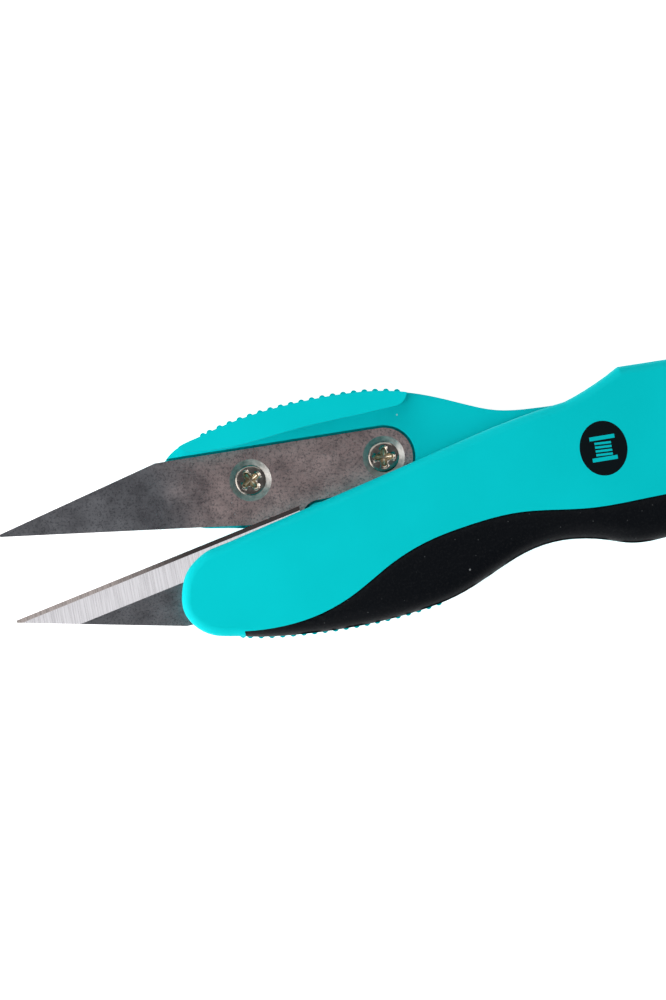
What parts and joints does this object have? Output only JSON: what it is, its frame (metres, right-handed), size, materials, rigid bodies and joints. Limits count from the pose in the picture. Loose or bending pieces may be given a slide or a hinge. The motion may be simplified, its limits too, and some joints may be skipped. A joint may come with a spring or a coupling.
{
  "type": "thread snips",
  "caption": "Spring-opened thread snips: moulded arms with soft grips and ridged finger pads, screwed steel blades, turning on a post at the butt.",
  "frame": {"origin": "on the outer face of the back arm's half, under the middle of the open snips", "axes": "+X along the snips from the blade tips to the butt, +Y towards the back arm's finger pad, +Z through the thickness"},
  "size_m": [0.127, 0.0326, 0.015],
  "materials": {
    "teal_plastic": "fine moulded, satin",
    "black_grip": "matt soft-touch",
    "blade_steel": "ground and polished",
    "screw_nickel": "nickel plated",
    "pivot_steel": "turned, satin",
    "washer_nylon": "natural nylon",
    "spring_steel": "drawn wire"
  },
  "bodies": {
    "back_half": {"back_arm": "teal_plastic", "back_grip": "black_grip", "upper_blade": "blade_steel", "upper_blade_screws": "screw_nickel", "pivot_post": "pivot_steel", "pivot_screw": "pivot_steel", "thrust_washer": "washer_nylon", "torsion_spring": "spring_steel"},
    "front_half": {"front_arm": "teal_plastic", "front_grip": "black_grip", "lower_blade": "blade_steel", "lower_blade_screws": "screw_nickel"}
  },
  "joints": [
    {"name": "squeeze", "type": "hinge", "parent": "back_half", "child": "front_half", "pos_m": [0.0525, 0, 0.0075], "axis": [0, 0, -1], "range_deg": [0, 6.1], "stiffness_Nm_per_rad": 0.3, "springref_deg": -28.65, "deforming": ["torsion_spring"]}
  ]
}
